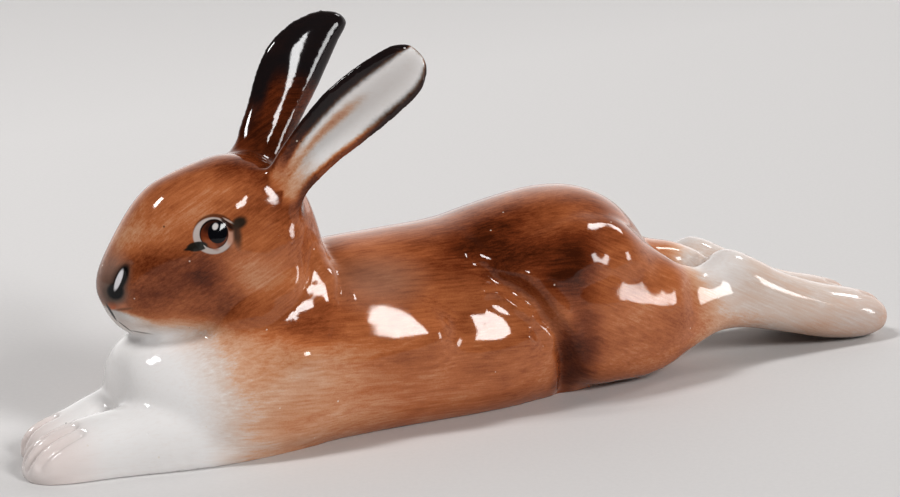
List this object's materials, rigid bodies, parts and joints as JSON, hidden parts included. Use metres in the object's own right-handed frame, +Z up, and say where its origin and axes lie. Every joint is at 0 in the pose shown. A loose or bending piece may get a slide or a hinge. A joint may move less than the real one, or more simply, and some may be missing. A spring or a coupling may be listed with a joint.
{
  "type": "hare sculpture",
  "caption": "Lying porcelain hare with its forelegs stretched forward, hind legs stretched back and ears raised, painted brown and white under a clear glaze.",
  "frame": {"origin": "under the middle of the hare's length and width, on the surface it rests on", "axes": "+X from the nose to the hind toes, +Z up, +Y to the hare's right"},
  "size_m": [0.24, 0.0498, 0.0936],
  "materials": {
    "painted_porcelain": "gloss"
  },
  "bodies": {
    "root": {"hare": "painted_porcelain"}
  },
  "joints": []
}
